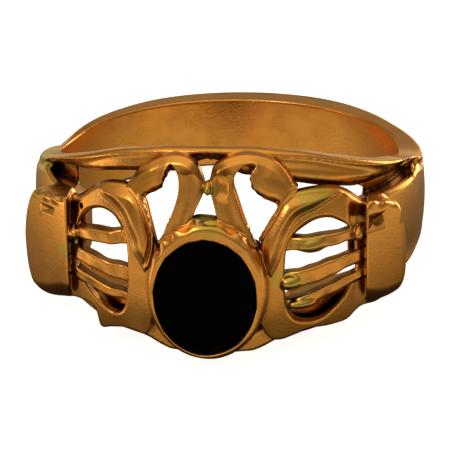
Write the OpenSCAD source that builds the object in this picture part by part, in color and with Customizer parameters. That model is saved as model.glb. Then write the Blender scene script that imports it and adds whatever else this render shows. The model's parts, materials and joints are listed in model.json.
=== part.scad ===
// Openwork ring with an oval black stone, resting on its side. Sizes in millimetres.
// The ring is drawn with the finger along Z and its front toward -Y, then leaned
// back onto the lower rail and the back of the shank.

/* [Finger hole] */
// Radius of the finger hole
bore_r = 8.75; // [8.25:0.05:9.25]

/* [Shank] */
// Thickness of the band at the middle of its width
shank_t = 1.7; // [1.5:0.1:1.9]
// Width of the band at the back of the finger
back_w = 3.8; // [3.6:0.1:4.0]
// Width of the band at the sides, where it splits
side_w = 4.0; // [3.8:0.1:4.2]
// Radius of the crown across the band, from edge to edge
crown_r = 12.5; // [12:0.5:14]

/* [Rails] */
// Distance between the outer edges of the two rails at the front
rails_w = 10.4; // [10.2:0.1:10.6]
// Angle that the ring leans back where it lies
lean = 9.2; // [9:0.1:9.6]

/* [Shoulder blocks] */
// Distance of a block's face from the middle of the finger hole
block_face = 11.75; // [11.6:0.05:11.9]
// Distance of a block's back from the middle of the finger hole, inside the band
block_base = 9.9; // [9.6:0.1:10.0]

/* [Openwork] */
// Distance of the raised ribbons from the middle of the finger hole
shell_r = 11.75; // [11.6:0.05:11.9]
// Radius of the openwork's bulge, from its upper to its lower edge
barrel_r = 14; // [13.5:0.5:15]
// Thickness of the ears and scrolls
ribbon_t = 0.85; // [0.75:0.05:0.95]
// How far the flat plates lie below the ribbons
plate_drop = 0.3; // [0.2:0.05:0.4]
// Depth of the hollow along each leaf
groove_d = 0.18; // [0.1:0.02:0.25]
// How far the bars lie below the ribbons
bar_drop = 0.15; // [0.1:0.05:0.25]
// Thickness of the bars
bar_t = 0.75; // [0.65:0.05:0.85]

/* [Bezel and stone] */
// Width of the bezel
bezel_w = 5.8; // [5.7:0.1:6.0]
// Height of the bezel
bezel_h = 6.8; // [6.7:0.1:7.0]
// Distance of the bezel's centre below the middle of the ring
bezel_low = 1.35; // [1.2:0.05:1.5]
// Distance of the bezel's rim from the middle of the finger hole
rim_y = 12.15; // [12.0:0.05:12.3]
// Depth of the bezel's cup from its rim to its back
bezel_d = 2.05; // [2.0:0.05:2.3]
// How far the rim is pushed in over the stone
rim_lap = 0.07; // [0.05:0.01:0.1]
// Gap round the stone
stone_gap = 0.03; // [0.02:0.01:0.05]

/* [Hidden] */
$fn = 96;
gold = [0.80, 0.55, 0.28];
// Reach of the cutting shapes past the metal, and the depth to which the openwork's
// outlines are carried back
far = 14;
front_end = -5;
shank_r = bore_r + shank_t;
bezel_z = -bezel_low;
// The lower edge of the band draws in toward the back, the upper edge is level
back_low = back_w - side_w / 2;
// Outer radius of the band's lower edge at the back, where it touches what it lies on
edge_r = crown_at(back_low);
rest_h = edge_r * sin(lean) + back_low * cos(lean);

// How far the ears lie below the leaves
ear_drop = 0.05;
// Mouth of the bezel: width, height, and its middle from the bezel's centre
mouth_w = 4.98;
mouth_h = 5.9;
mouth_x = -0.07;
mouth_z = -0.2;
// Thickness of the rim's lip, depth of the stone's seat and width of its ledge
lip_t = 0.2;
seat_y = 1.55;
seat_w = 0.45;
// Where the opening behind the stone ends, inside the finger hole
seat_back = -8;
// Steps round the bezel
oval_steps = 48;
// Angle of each block from the front, and x of its inner side
block_angle_r = 48.2;
block_angle_l = 49.3;
block_in_r = 7.6;
block_in_l = 7.2;
// Where the slits between the rails end toward the back
slit_end = -1.5;
// Share of the crown that the lower rail has
low_crown = 0.15;
// Share of the rails' rise toward the front that is straight, the rest being curved
straight_rise = 0.45;

// Outer radius of the band. Columns: angle from the front, radius on the right and left
PLAN = [[0, 10.45, 10.45], [25, 10.45, 10.45], [50, 10.4, 10.3], [75, 10.25, 10.15],
    [91, 10.15, 10.05], [97, 10.12, 9.5], [105, 10.0, 9.4], [120, 9.85, 9.55],
    [135, 10.05, 9.85], [150, 10.35, 10.2], [165, 10.45, 10.4], [180, 10.45, 10.45]];
// Edges of the rails. Columns: x outward, height of the upper edge on the right and on
// the left, and depth of the lower edge
RAILS = [[0, 5.2, 5.2, 5.2], [1.8, 5.16, 5.16, 5.2], [2.6, 5.12, 5.12, 4.95],
    [3.5, 5.0, 5.0, 4.55], [5.2, 4.7, 4.7, 4.25], [6.4, 4.32, 4.32, 3.8],
    [7.4, 3.95, 3.95, 3.35], [8.9, 3.25, 3.1, 2.9], [9.7, 2.7, 2.4, 2.6],
    [10.1, 2.35, 1.9, 2.3], [10.5, 2.0, 1.8, 2.0]];
// Upper edge of the shank from left to right. Rows: x, and height as a share of the
// half width
SHANK_TOP = [[-11, 0.875], [-9.6, 0.875], [-8.8, 0.94], [-7.8, 1], [11, 1]];
// Rows of each table below: x outward from the middle and z. The left and the right
// side were made by hand and differ.
// Open space between the rails, from the middle over the upper rail's edge to the tip,
// back round the middle strand and below it the same
SLIT_R = [[0, 4.12], [2.7, 3.82], [4.3, 3.44], [5.9, 3.1], [6.7, 2.9], [8.1, 2.92],
    [9.2, 2.65], [10.0, 2.15], [9.2, 1.88], [7.9, 1.9], [6.95, 1.8], [6.6, 1.3], [6.6, -1.1],
    [7.0, -1.5], [8.2, -1.8], [9.0, -2.05], [8.0, -2.3], [6.2, -2.3], [4.4, -2.3],
    [3.3, -2.9], [2.4, -3.8], [0, -4.05]];
SLIT_L = [[0, 4.12], [2.7, 3.97], [4.2, 3.83], [5.5, 3.53], [6.4, 3.32], [7.3, 3.2],
    [8.5, 2.8], [9.1, 2.45], [8.5, 2.25], [7.2, 2.15], [6.5, 1.85], [6.3, 1.3], [6.4, -1.1],
    [6.8, -1.5], [8.0, -1.8], [8.8, -2.02], [8.0, -2.25], [6.2, -2.3], [4.2, -2.35],
    [3.2, -2.95], [2.4, -3.8], [0, -4.05]];
// Scroll, from the block over the lobe, down beside the bezel and back along the leg
SCROLL_R = [[8.2, 1.6], [7.3, 2.1], [6.95, 2.4], [6.61, 2.75], [6.02, 3.08], [5.23, 3.22],
    [4.53, 3.2], [4.0, 3.15], [3.6, 2.85], [3.2, 2.21], [2.8, 1.57], [2.5, 0.7], [2.3, -0.4],
    [2.3, -2.6], [2.45, -3.2], [2.9, -4.1], [3.45, -4.27], [4.2, -4.06], [4.9, -3.84],
    [5.9, -3.84], [6.65, -3.73], [7.3, -3.25], [8.3, -3.0], [8.6, -0.6]];
SCROLL_L = [[7.9, 1.6], [7.0, 2.1], [6.4, 2.5], [5.8, 2.97], [5.18, 3.32], [4.4, 3.44],
    [3.85, 3.36], [3.41, 3.1], [3.06, 2.7], [2.82, 1.83], [2.6, 1.1], [2.35, 0.2],
    [2.3, -0.8], [2.5, -2.2], [2.82, -3.2], [2.95, -3.8], [3.25, -4.1], [3.7, -4.0],
    [4.3, -3.9], [5.0, -4.02], [5.6, -4.12], [5.85, -3.2], [6.5, -2.85], [8.0, -2.95],
    [8.3, -0.6]];
// Window that the bars cross
WINDOW_R = [[6.86, 0.98], [6.26, 1.66], [5.63, 1.91], [4.92, 1.83], [4.22, 1.36], [3.86, 0.75],
    [3.7, -0.4], [3.73, -2.1], [4.03, -3.05], [4.74, -3.42], [5.54, -3.3], [6.34, -2.61],
    [6.9, -1.75], [7.05, -0.5]];
WINDOW_L = [[6.75, 0.9], [6.5, 1.6], [6.05, 2.02], [5.38, 2.2], [4.72, 2.0], [4.3, 1.5],
    [4.06, 0.5], [4.03, -0.8], [4.12, -2.1], [4.35, -2.9], [4.9, -3.12], [5.74, -2.55],
    [6.3, -1.9], [6.8, -0.9]];
// Outer edge of an ear loop, closed through the bezel and the scroll
EAR_R = [[4.3, 3.3], [4.1, 3.6], [3.8, 4.1], [3.35, 4.58], [2.66, 4.92], [1.86, 5.06],
    [1.08, 4.97], [0.53, 4.74], [0.22, 4.5], [0.1, 4.05], [0.06, 3.7], [0.14, 3.35],
    [0.34, 2.7], [0.55, 1.9], [0.7, 1.2], [2.0, 0.6], [3.0, 1.6], [3.7, 2.6]];
EAR_L = [[4.05, 3.3], [3.84, 3.68], [3.42, 4.25], [2.8, 4.65], [2.14, 4.92], [1.45, 5.0],
    [0.93, 4.87], [0.58, 4.6], [0.33, 4.19], [0.15, 3.65], [0.23, 3.3], [0.58, 2.58],
    [0.8, 1.9], [0.95, 1.3], [2.0, 0.6], [2.9, 1.5], [3.6, 2.7]];
// Opening inside an ear loop, down to the corner between bezel and scroll
EAR_HOLE_R = [[3.5, 2.9], [2.85, 3.2], [2.37, 3.5], [2.12, 3.9], [2.1, 4.3], [2.3, 4.62],
    [2.0, 4.7], [1.68, 4.58], [1.41, 4.34], [1.26, 4.04], [1.23, 3.7], [1.4, 3.2],
    [1.77, 2.19], [2.1, 1.45], [2.4, 0.9], [2.6, 1.15], [2.85, 1.65], [3.23, 2.21]];
EAR_HOLE_L = [[3.3, 3.05], [3.0, 3.35], [2.4, 3.7], [2.19, 4.0], [2.06, 4.35], [1.9, 4.62],
    [1.7, 4.5], [1.55, 4.25], [1.44, 3.85], [1.46, 3.31], [1.65, 2.65], [1.95, 1.9],
    [2.2, 1.33], [2.55, 0.95], [2.7, 1.3], [2.85, 1.83], [3.08, 2.6]];
// Raised leaf on a scroll. Columns: x and z on the window side, x and z on the ear side
LEAF_R = [[6.4, 2.82, 6.3, 2.9], [5.9, 2.62, 5.85, 3.08], [5.2, 2.3, 5.1, 3.18],
    [4.4, 2.0, 4.3, 3.16], [3.95, 1.35, 3.65, 2.9], [3.7, 0.7, 3.1, 1.95],
    [3.5, 0.1, 2.7, 1.1], [3.3, -0.35, 2.62, 0.3], [3.08, -0.75, 2.9, -0.5]];
LEAF_L = [[5.54, 3.0, 5.5, 3.1], [5.35, 2.75, 5.0, 3.3], [4.95, 2.5, 4.4, 3.4],
    [4.46, 2.08, 3.7, 3.28], [4.15, 1.5, 3.2, 2.8], [3.85, 0.85, 2.85, 1.9],
    [3.7, 0.3, 2.68, 1.2], [3.4, -0.15, 2.7, 0.5], [3.14, -0.6, 2.95, -0.35]];
// Bars of one side. Columns: x, z and height at the scroll; x, z and height at the block
BARS_R = [[3.6, 0.7, 0.6, 8.0, 0.74, 0.64], [3.5, -1.22, 0.88, 8.0, -0.26, 0.66],
    [3.5, -2.5, 0.62, 8.0, -1.18, 0.5]];
BARS_L = [[3.9, 0.91, 0.7, 7.5, 0.63, 0.54], [3.9, -1.02, 0.8, 7.5, -0.18, 0.64],
    [3.9, -2.25, 0.48, 7.5, -1.17, 0.6]];
// Face of a block. Rows: distance outward along the face from the block's middle, and z
BLOCK_R = [[-2.6, 2.5], [-1.6, 2.42], [-0.6, 2.22], [0.4, 1.95], [1.0, 1.72], [1.4, 1.2],
    [1.65, 0.3], [1.76, -0.75], [1.74, -2.2], [1.43, -2.92], [0.85, -3.22], [-0.4, -3.26],
    [-1.7, -2.97], [-2.6, -2.7]];
BLOCK_L = [[-3.2, 2.36], [-1.5, 2.3], [0.2, 2.2], [0.9, 2.05], [1.5, 1.6], [1.86, 1.0],
    [2.1, 0.0], [2.16, -0.8], [2.04, -2.2], [1.62, -3.2], [1.0, -3.52], [0.2, -3.56],
    [-1.1, -3.25], [-1.9, -2.98], [-3.2, -2.6]];
// Steps between two rows of a table
table_steps = 2;
// Small distance that keeps two cutting faces apart
hair = 0.01;
// Rows of the barrel and the crown, from end to end
profile_rows = 6;
// Half height of the barrel
barrel_h = 5.6;
// Steps of the band's side view from the middle to the front
side_steps = 6;

// Outline of the band as seen along the finger
band_outline = closed_curve(concat(
    [for (r = PLAN) [r[1] * sin(r[0]), -r[1] * cos(r[0])]],
    [for (i = [len(PLAN) - 2 : -1 : 1]) let (r = PLAN[i])
        [-r[2] * sin(r[0]), -r[2] * cos(r[0])]]));
// Front view of the slits on both sides
slit_outline = closed_curve(concat(SLIT_R,
    [for (i = [len(SLIT_L) - 2 : -1 : 1]) [-SLIT_L[i][0], SLIT_L[i][1]]]));
// The middle of the ring's footprint, from the middle of the finger hole
middle_x = (max([for (p = band_outline) p[0]]) + min([for (p = band_outline) p[0]])) / 2;
front_y = -rim_y * cos(lean) - (bezel_low + bezel_h / 2) * sin(lean);
back_y = (shank_r - crown_r) * cos(lean) + crown_r;
middle_y = (front_y + back_y) / 2;

// Outer radius of the band at height z
function crown_at(z) = shank_r - crown_r + sqrt(crown_r ^ 2 - z ^ 2);

// Outer radius of the rails at height z, the lower one being fuller
function rail_at(z) = z > 0 ? crown_at(z) : shank_r - low_crown * (shank_r - crown_at(z));

// Radius of the openwork's barrel at height z, drop below the raised ribbons. The
// barrel bulges at the height of the bezel.
function barrel_at(z, drop) =
    shell_r - drop - barrel_r + sqrt(barrel_r ^ 2 - (z - bezel_z) ^ 2);

// Half height of the band at y, seen from the side
function side_z(y) =
    let (u = -y / bore_r) side_w / 2
        + (rails_w - side_w) / 2 * (straight_rise * u + (1 - straight_rise) * u ^ 2);

// One point of a smooth curve through b and c, with a and d as neighbours
function curve_point(a, b, c, d, t) =
    0.5 * (2 * b + (c - a) * t + (2 * a - 5 * b + 4 * c - d) * t ^ 2
    + (3 * b - 3 * c + d - a) * t ^ 3);

// Closed smooth outline through the rows of a table
function closed_curve(rows) =
    let (n = len(rows))
    [for (i = [0 : n - 1]) for (k = [0 : table_steps - 1])
        curve_point(rows[(i + n - 1) % n], rows[i], rows[(i + 1) % n], rows[(i + 2) % n],
            k / table_steps)];

// Open smooth curve through the rows of a table
function open_curve(rows) =
    let (n = len(rows))
    [for (i = [0 : n - 2]) for (k = [0 : table_steps - 1 + (i == n - 2 ? 1 : 0)])
        curve_point(rows[max(i - 1, 0)], rows[i], rows[i + 1], rows[min(i + 2, n - 1)],
            k / table_steps)];

// Outline of a leaf, its two edges drawn in from the table by the share given
function leaf_outline(rows, share) =
    let (window_side = [for (r = rows) [r[0] + (r[2] - r[0]) * share,
            r[1] + (r[3] - r[1]) * share]],
        ear_side = [for (i = [len(rows) - 1 : -1 : 0]) let (r = rows[i])
            [r[2] + (r[0] - r[2]) * share, r[3] + (r[1] - r[3]) * share]])
    concat(open_curve(window_side), open_curve(ear_side));

// Points of an oval about a place on the front
function oval(w, h, x, z) = [for (i = [0 : oval_steps - 1]) let (a = i * 360 / oval_steps)
    [x + w / 2 * cos(a), z + h / 2 * sin(a)]];

// A flat outline in x and z, carried along Y from y0 back to y1
module front_prism(points, y0, y1) {
    translate([0, y1, 0]) rotate([90, 0, 0])
        linear_extrude(y1 - y0) polygon(points);
}

// Solid of revolution inside the openwork's barrel
module barrel(drop) {
    step = 2 * barrel_h / profile_rows;
    rotate_extrude()
        polygon(concat([[0, -barrel_h]],
            [for (i = [0 : profile_rows]) let (z = -barrel_h + i * step) [barrel_at(z, drop), z]],
            [[0, barrel_h]]));
}

// The part of the barrel's wall behind an outline on the front
module shell_piece(points, drop, thickness) {
    difference() {
        intersection() {
            front_prism(points, -far, front_end);
            barrel(drop);
        }
        barrel(drop + thickness);
    }
}

// Band with a crowned outside, from the outer radius at each height in the list
module crowned_band(heights, radii) {
    inside = bore_r - 1;
    last = len(heights) - 1;
    rotate_extrude()
        polygon(concat([[inside, heights[0]]], [for (i = [0 : last]) [radii[i], heights[i]]],
            [[inside, heights[last]]]));
}

// The band's outline, carried along the finger
module plan_prism() {
    translate([0, 0, -far]) linear_extrude(2 * far) polygon(band_outline);
}

// A region seen from the side, from its outline in y and z
module side_prism(points) {
    translate([-far, 0, 0]) rotate([90, 0, 90]) linear_extrude(2 * far) polygon(points);
}

// Plain band round the back, which draws in a little from the split to the back
module shank() {
    half_w = side_w / 2;
    low_slope = (half_w - back_low) / shank_r;
    spare = 1.05;
    heights = [for (i = [-2 : 2]) i * half_w / 2 * spare];
    top_edge = [for (p = SHANK_TOP) [p[0], p[1] * half_w]];
    color(gold) intersection() {
        crowned_band(heights, [for (z = heights) crown_at(z)]);
        plan_prism();
        front_prism(concat([[-far, -far]], top_edge, [[far, -far]]), 0, far);
        side_prism([[0, side_w], [0, -half_w], [far, low_slope * far - half_w], [far, side_w]]);
    }
}

// Upper and lower rail with the stub of the middle strand between them
module rails() {
    reach = 11;
    spare = 0.2;
    share = rails_w / 2 / RAILS[0][1];
    front_view = concat(
        [for (r = RAILS) [r[0], r[1] * share]],
        [for (i = [len(RAILS) - 1 : -1 : 0]) [RAILS[i][0], -RAILS[i][3] * share]],
        [for (i = [1 : len(RAILS) - 1]) [-RAILS[i][0], -RAILS[i][3] * share]],
        [for (i = [len(RAILS) - 1 : -1 : 1]) [-RAILS[i][0], RAILS[i][2] * share]]);
    top = rails_w / 2 + spare;
    heights = [for (i = [0 : profile_rows]) -top + i * 2 * top / profile_rows];
    upper = [for (i = [-side_steps : 0]) let (y = i * reach / side_steps) [y, side_z(y)]];
    color(gold) difference() {
        intersection() {
            crowned_band(heights, [for (z = heights) rail_at(z)]);
            plan_prism();
            front_prism(front_view, -far, 0);
            side_prism(concat(upper,
                [for (i = [side_steps : -1 : 0]) [upper[i][0], -upper[i][1]]]));
        }
        front_prism(slit_outline, -far, slit_end);
    }
}

// The right side as it is, or mirrored for the left
module scale_x(sign) {
    mirror([sign < 0 ? 1 : 0, 0, 0]) children();
}

// Cushion-shaped block that spans the shoulder, its inner side cut straight
module shoulder_block(sign, angle, inner_x, outline) {
    color(gold) scale_x(sign) intersection() {
        translate([inner_x, -far, -far]) cube(2 * far);
        rotate([0, 0, angle]) cushion(outline);
    }
}

// The block's rounded form from its outline on the face
module cushion(outline) {
    corner = 1.1;
    bevel = 0.35;
    inner = -4;
    under = 1 - block_base;
    reach = max([for (p = outline) p[0]]) + hair;
    low = min([for (p = outline) p[1]]) - hair;
    intersection() {
        front_prism(closed_curve(outline), -block_face, -block_base);
        // Seen along the finger, with the outer edge rounded
        translate([0, 0, -far]) linear_extrude(2 * far)
            polygon([[inner, under], [inner, -block_face], [reach - corner, -block_face],
                [reach - bevel, bevel - block_face], [reach, corner - block_face],
                [reach, under]]);
        // Seen from the side, with the lower edge rounded
        side_prism([[under, far], [-block_face, far], [-block_face, low + corner],
            [bevel - block_face, low + bevel], [corner - block_face, low], [under, low]]);
    }
}

// Flat plate of a scroll with its leg, cut out round the bars
module scroll_plate(sign, outline, window) {
    deeper = 0.1;
    color(gold) scale_x(sign) difference() {
        shell_piece(closed_curve(outline), plate_drop, ribbon_t - plate_drop + deeper);
        front_prism(closed_curve(window), -far, front_end);
    }
}

// Raised leaf on a scroll, hollowed along its middle
module leaf(sign, rows) {
    edge_share = 0.25;
    above = 0.5;
    color(gold) scale_x(sign) difference() {
        shell_piece(leaf_outline(rows, 0), 0, ribbon_t);
        shell_piece(leaf_outline(rows, edge_share), -above, above + groove_d);
    }
}

// Three bars that fan out from the block to the scroll
module bars(sign, rows) {
    color(gold) scale_x(sign) for (b = rows)
        shell_piece([[b[0], b[1] - b[2] / 2], [b[3], b[4] - b[5] / 2],
            [b[3], b[4] + b[5] / 2], [b[0], b[1] + b[2] / 2]], bar_drop, bar_t);
}

// Loop from the top of the bezel over the upper rail to the scroll
module ear_loop(sign, outline, hole) {
    color(gold) scale_x(sign) difference() {
        shell_piece(closed_curve(outline), ear_drop, ribbon_t);
        front_prism(closed_curve(hole), -far, front_end);
    }
}

// Bead of solder that joins the two ears
module solder_bead() {
    bead_r = 0.3;
    bead_z = 3.5;
    bead_drop = 0.12;
    bead_t = 0.55;
    color(gold) shell_piece([for (a = [0 : 30 : 330]) [bead_r * cos(a), bead_z + bead_r * sin(a)]],
        bead_drop, bead_t);
}

// Oval cup that holds the stone, its lower end carried back to the lower rail
module bezel() {
    foot_top = -2.5;
    foot_back = -9.1;
    outline = oval(bezel_w, bezel_h, 0, bezel_z);
    color(gold) {
        front_prism(outline, -rim_y, bezel_d - rim_y);
        intersection() {
            front_prism(outline, -rim_y, foot_back);
            translate([-far, -far, foot_top - far]) cube([2 * far, 2 * far, far]);
        }
    }
}

// An oval as the mouth's, wider or narrower all round, from y0 back to y1
module mouth_prism(extra, y0, y1) {
    front_prism(oval(mouth_w + 2 * extra, mouth_h + 2 * extra, mouth_x, bezel_z + mouth_z), y0, y1);
}

// Mouth of the rim, space for the stone and the opening of its seat
module stone_pocket() {
    mouth_prism(0, -far, seat_y - rim_y);
    mouth_prism(rim_lap, lip_t - rim_y, seat_y - rim_y);
    mouth_prism(-seat_w, -far, seat_back);
}

// All the metal, soldered into one piece
module ring_body() {
    resting() difference() {
        union() {
            shank();
            rails();
            shoulder_block(1, block_angle_r, block_in_r, BLOCK_R);
            shoulder_block(-1, block_angle_l, block_in_l, BLOCK_L);
            scroll_plate(1, SCROLL_R, WINDOW_R);
            scroll_plate(-1, SCROLL_L, WINDOW_L);
            leaf(1, LEAF_R);
            leaf(-1, LEAF_L);
            bars(1, BARS_R);
            bars(-1, BARS_L);
            ear_loop(1, EAR_R, EAR_HOLE_R);
            ear_loop(-1, EAR_L, EAR_HOLE_L);
            solder_bead();
            bezel();
        }
        cylinder(r = bore_r, h = 2 * far, center = true);
        stone_pocket();
        worn_flat();
    }
}

// Everything below the surface that the ring lies on
module worn_flat() {
    rotate([lean, 0, 0]) translate([-far, -far, -far - rest_h]) cube([2 * far, 2 * far, far]);
}

// Oval cabochon with a low dome
module black_stone() {
    dome_r = 11.5;
    proud = 0.04;
    dome_top = -rim_y - proud;
    color([0.02, 0.02, 0.03]) resting() intersection() {
        mouth_prism(rim_lap - stone_gap, -far, seat_y - stone_gap - rim_y);
        translate([mouth_x, dome_top + dome_r, bezel_z + mouth_z]) sphere(dome_r);
    }
}

// Leans the ring back onto what it lies on, over the middle of its footprint
module resting() {
    translate([-middle_x, -middle_y, rest_h]) rotate([-lean, 0, 0]) children();
}

ring_body();
black_stone();
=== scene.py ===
import json
import math

import bpy
import numpy as np
from mathutils import Matrix, Vector


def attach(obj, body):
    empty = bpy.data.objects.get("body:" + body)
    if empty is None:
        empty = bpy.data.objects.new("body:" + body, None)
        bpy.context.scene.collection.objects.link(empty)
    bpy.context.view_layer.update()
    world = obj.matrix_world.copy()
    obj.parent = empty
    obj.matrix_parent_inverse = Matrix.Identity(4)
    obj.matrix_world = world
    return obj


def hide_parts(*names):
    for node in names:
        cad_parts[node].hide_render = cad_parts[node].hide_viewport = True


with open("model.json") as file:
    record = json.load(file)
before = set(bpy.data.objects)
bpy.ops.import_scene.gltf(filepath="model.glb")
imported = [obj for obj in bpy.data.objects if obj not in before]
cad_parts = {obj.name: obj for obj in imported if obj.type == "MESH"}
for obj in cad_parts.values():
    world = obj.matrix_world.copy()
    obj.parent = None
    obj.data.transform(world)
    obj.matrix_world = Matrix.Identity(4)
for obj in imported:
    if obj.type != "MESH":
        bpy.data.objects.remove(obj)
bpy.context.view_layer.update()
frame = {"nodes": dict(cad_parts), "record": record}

# The ring's own frame: millimetres from the middle of the finger hole, X to the right,
# Y to the back and Z along the finger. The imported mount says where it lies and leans.
MOUNT = frame["record"]["mounts"][0]
CENTRE_MM = np.array(MOUNT["pos_m"]) * 1000
LEAN = math.atan2(MOUNT["axis"][1], MOUNT["axis"][2])
BORE_R = MOUNT["dims"]["r_mm"]
MM = 0.001
SIGN = {"right": 1, "left": -1}

# Sizes of the metal, in millimetres, and a few plain factors (SHARE, STRETCH, SLANT and
# LOW_CROWN). EDGE says how round an edge is. AT says how far from an edge the middle of a
# groove or ridge lies, and HALF is half its width. A pair of values is a zone: a form comes
# in gradually from the first value to the second
SHELL_R = 11.75
BARREL_R = 14.0
RIBBON_T = 0.85
FILLET = 0.1
SMALL_FILLET = 0.06
TINY_FILLET = 0.05

# Band, with the slits between the rails and the middle strand
CROWN_R = 12.5
LOW_CROWN = 0.15
LOW_CROWN_BELOW = (1.5, 3.0)
BAND_EDGE = 0.22
BORE_EDGE = 0.1
SLIT_EDGE = 0.34
SLIT_END_Y = -1.5
BAND_UNEVEN = 0.012
# How much rounder the left shoulder is worn, and its middle and half length in degrees
SHOULDER_WEAR = 0.4
WORN_AT, WORN_HALF = 84, 34
# The upper rail turns in underneath, and has a groove below its crest
RAIL_UNDERSIDE = 0.42
RAIL_Z = (2.1, 2.6)
GROOVE_DEEP, GROOVE_AT, GROOVE_HALF = 0.12, 0.48, 0.32
CREST_HIGH, CREST_AT, CREST_HALF = 0.03, 0.1, 0.22
# The strand's top slopes inward from STRAND_R over STRAND_W
STRAND_R = 10.1
STRAND_W = 1.3
STRAND_SLOPE = 0.3
STRAND_Z = (2.75, 2.4)
# Floor of the slit toward its ends: it comes in between two angles from the front
FLOOR_R = 9.2
FLOOR_FALL = 0.6
FLOOR_TURN = (50, 64)
FLOOR_Z = 2.2
FLOOR_HALF_H = 0.9
FLOOR_BELOW_EDGE = 0.1
# Drop of metal across the right slit: its middle in x, y and z, and its half sizes
BRIDGE_AT = (9.6, -2.9, 2.1)
BRIDGE_HALVES = (0.13, 0.25, 0.35)

# Blocks: the face and its bow, the base and the crumpled ridge
BLOCK_FACE = 11.75
BLOCK_BASE = 9.9
BOW_ACROSS = 0.035
BOW_UP = 0.02
BOW_Z = -0.5
BLOCK_EDGE = 0.95
CRISP_EDGE = 0.25
CRISP_Z = (0.6, 1.6)
CRISP_ACROSS = (1.5, 0.5)
INNER_EDGE = 0.16
RIDGE_W = 0.45
RIDGE_DEEP = 0.5
RIDGE_Z = (0.9, 1.6)
RIDGE_ACROSS = (1.0, 0.2)
CRUMPLE_FINE = 0.07
CRUMPLE_BROAD = 0.05
HOLLOW_UNEVEN = 0.1
HOLLOW_SHARE = (1.25, 0.2)
HOLLOW_DEPTH = (-0.8, -0.2)
BLOCK_UNEVEN = 0.012

# Plate of the scroll: how deep it lies, its wall over the window, the strip by the block
PLATE_DROP = 0.3
PLATE_EXTRA_T = 0.1
PLATE_EDGE = 0.12
WINDOW_SLANT = 0.25
SLANT_DEPTH = (0.2, 0.8)
SLANT_Z = (0.6, 1.6)
COVE = 0.16
COVE_X = (6.6, 7.1)
SCROLL_UNEVEN = 0.01

# Leaf: its fall to the outline and, on the left, a rim and a groove beside the ear
LEAF_FALL = 0.25
LEAF_SLOPE_W = 0.55
LEAF_EDGE = 0.08
RIM_HIGH, RIM_AT, RIM_HALF = 0.1, 0.06, 0.14
RIM_Z = (2.9, 2.3)
CHANNEL_DEEP, CHANNEL_AT, CHANNEL_HALF = 0.14, 0.22, 0.12
CHANNEL_FROM_Z = (-0.5, -0.1)
CHANNEL_TO_Z = (2.6, 1.9)

# Bars: both ends dip, under the scroll and into the block. DIP_SCROLL_X counts from the
# bar's inner end
BAR_DROP = 0.15
BAR_T = 0.72
BAR_EDGE = 0.13
BAR_DIP_SCROLL = 0.26
DIP_SCROLL_X = (1.1, 0.4)
BAR_DIP_BLOCK = 0.2
DIP_BLOCK_X = (6.2, 7.2)
BAR_SAG = 0.05
BAR_UNEVEN = 0.025
BLOB_DEPTH = 0.4
BLOB_HALF_DEPTH = 0.42
PIT_DEPTH = 0.5
PIT_STRETCH_Z = 0.6
PIT_STRETCH_DEPTH = 0.3

# Ears. The leg stands on the bezel, the lobe comes down to the scroll
EAR_DROP = 0.05
EAR_FLAT = 0.03
EAR_EDGE = 0.07
BACK_HOLE_DEPTH = (0.12, 0.75)
TOP_FALL = 0.13
TOP_FALL_W = 0.35
TOP_FALL_Z = (2.6, 4.2)
RIM_FALL = 0.08
RIM_FALL_W = 0.25
LEG_X = (1.9, 1.5)
LEG_Z = (4.6, 4.0)
LOBE_LIP_X = (1.9, 2.3)
LOBE_FOLD_X = (1.9, 2.4)
RAGGED = 0.04
RAGGED_FROM_X = 1.9
RAGGED_W = 0.5
STRIP_DEEP, STRIP_AT, STRIP_HALF = 0.035, 0.42, 0.3
LIP_HIGH, LIP_AT, LIP_HALF = 0.05, 0.08, 0.16
FOLD_DEEP, FOLD_AT, FOLD_HALF = 0.03, 0.5, 0.4
EAR_UNEVEN = 0.01
# Dent in the right ear's leg: its depth, middle, half sizes, slant and zone
DENT_DEEP = 0.14
DENT_X, DENT_Z = 0.72, 3.6
DENT_HALF_W, DENT_HALF_H = 0.34, 0.5
DENT_SLANT = 0.3
DENT_SHARE = (1.25, 0.2)
# Bead between the ears: x, z and depth of its middle, and its half sizes
BEAD_AT = (0.0, 3.62, 0.3)
BEAD_HALVES = (0.2, 0.34, 0.4)

# Bezel: the cup, its mouth, the stone's seat and the hole through the back
BEZEL_Z = -1.35
BEZEL_W = 5.85
BEZEL_H = 6.9
MOUTH_W = 4.98
MOUTH_H = 5.9
MOUTH_X = -0.07
MOUTH_Z = -0.2
FRONT_Y = 12.15
CUP_EDGE = 0.27
MOUTH_DEEP = 0.2
SEAT_DEEP = 1.6
SEAT_SPARE = 0.04
LEDGE = 0.45
CUP_BACK = 10.1
FOOT_BACK = 9.1
FOOT_BELOW = (0.6, 1.6)
LUMPS_Z = (0.8, 2.2)
LUMPS_BEHIND = (0.12, -0.3)
LUMPS_SWELL = 0.06
LUMPS_HIGH = 0.11
FRONT_UNEVEN = 0.02
MOUTH_UNEVEN = 0.035
# Ragged mouth: height of each set of waves, their number round the mouth and their start
MOUTH_WAVES = [(0.03, 9, 1), (0.02, 17, 2)]
BEZEL_UNEVEN = 0.008

# Outer radius of the band. Columns: angle from the front, radius on the right and left
PLAN = [(0, 10.45, 10.45), (25, 10.45, 10.45), (50, 10.4, 10.3), (75, 10.25, 10.15),
        (91, 10.15, 10.05), (97, 10.12, 9.5), (105, 10.0, 9.4), (120, 9.85, 9.55),
        (135, 10.05, 9.85), (150, 10.35, 10.2), (165, 10.45, 10.4), (180, 10.45, 10.45)]
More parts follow.
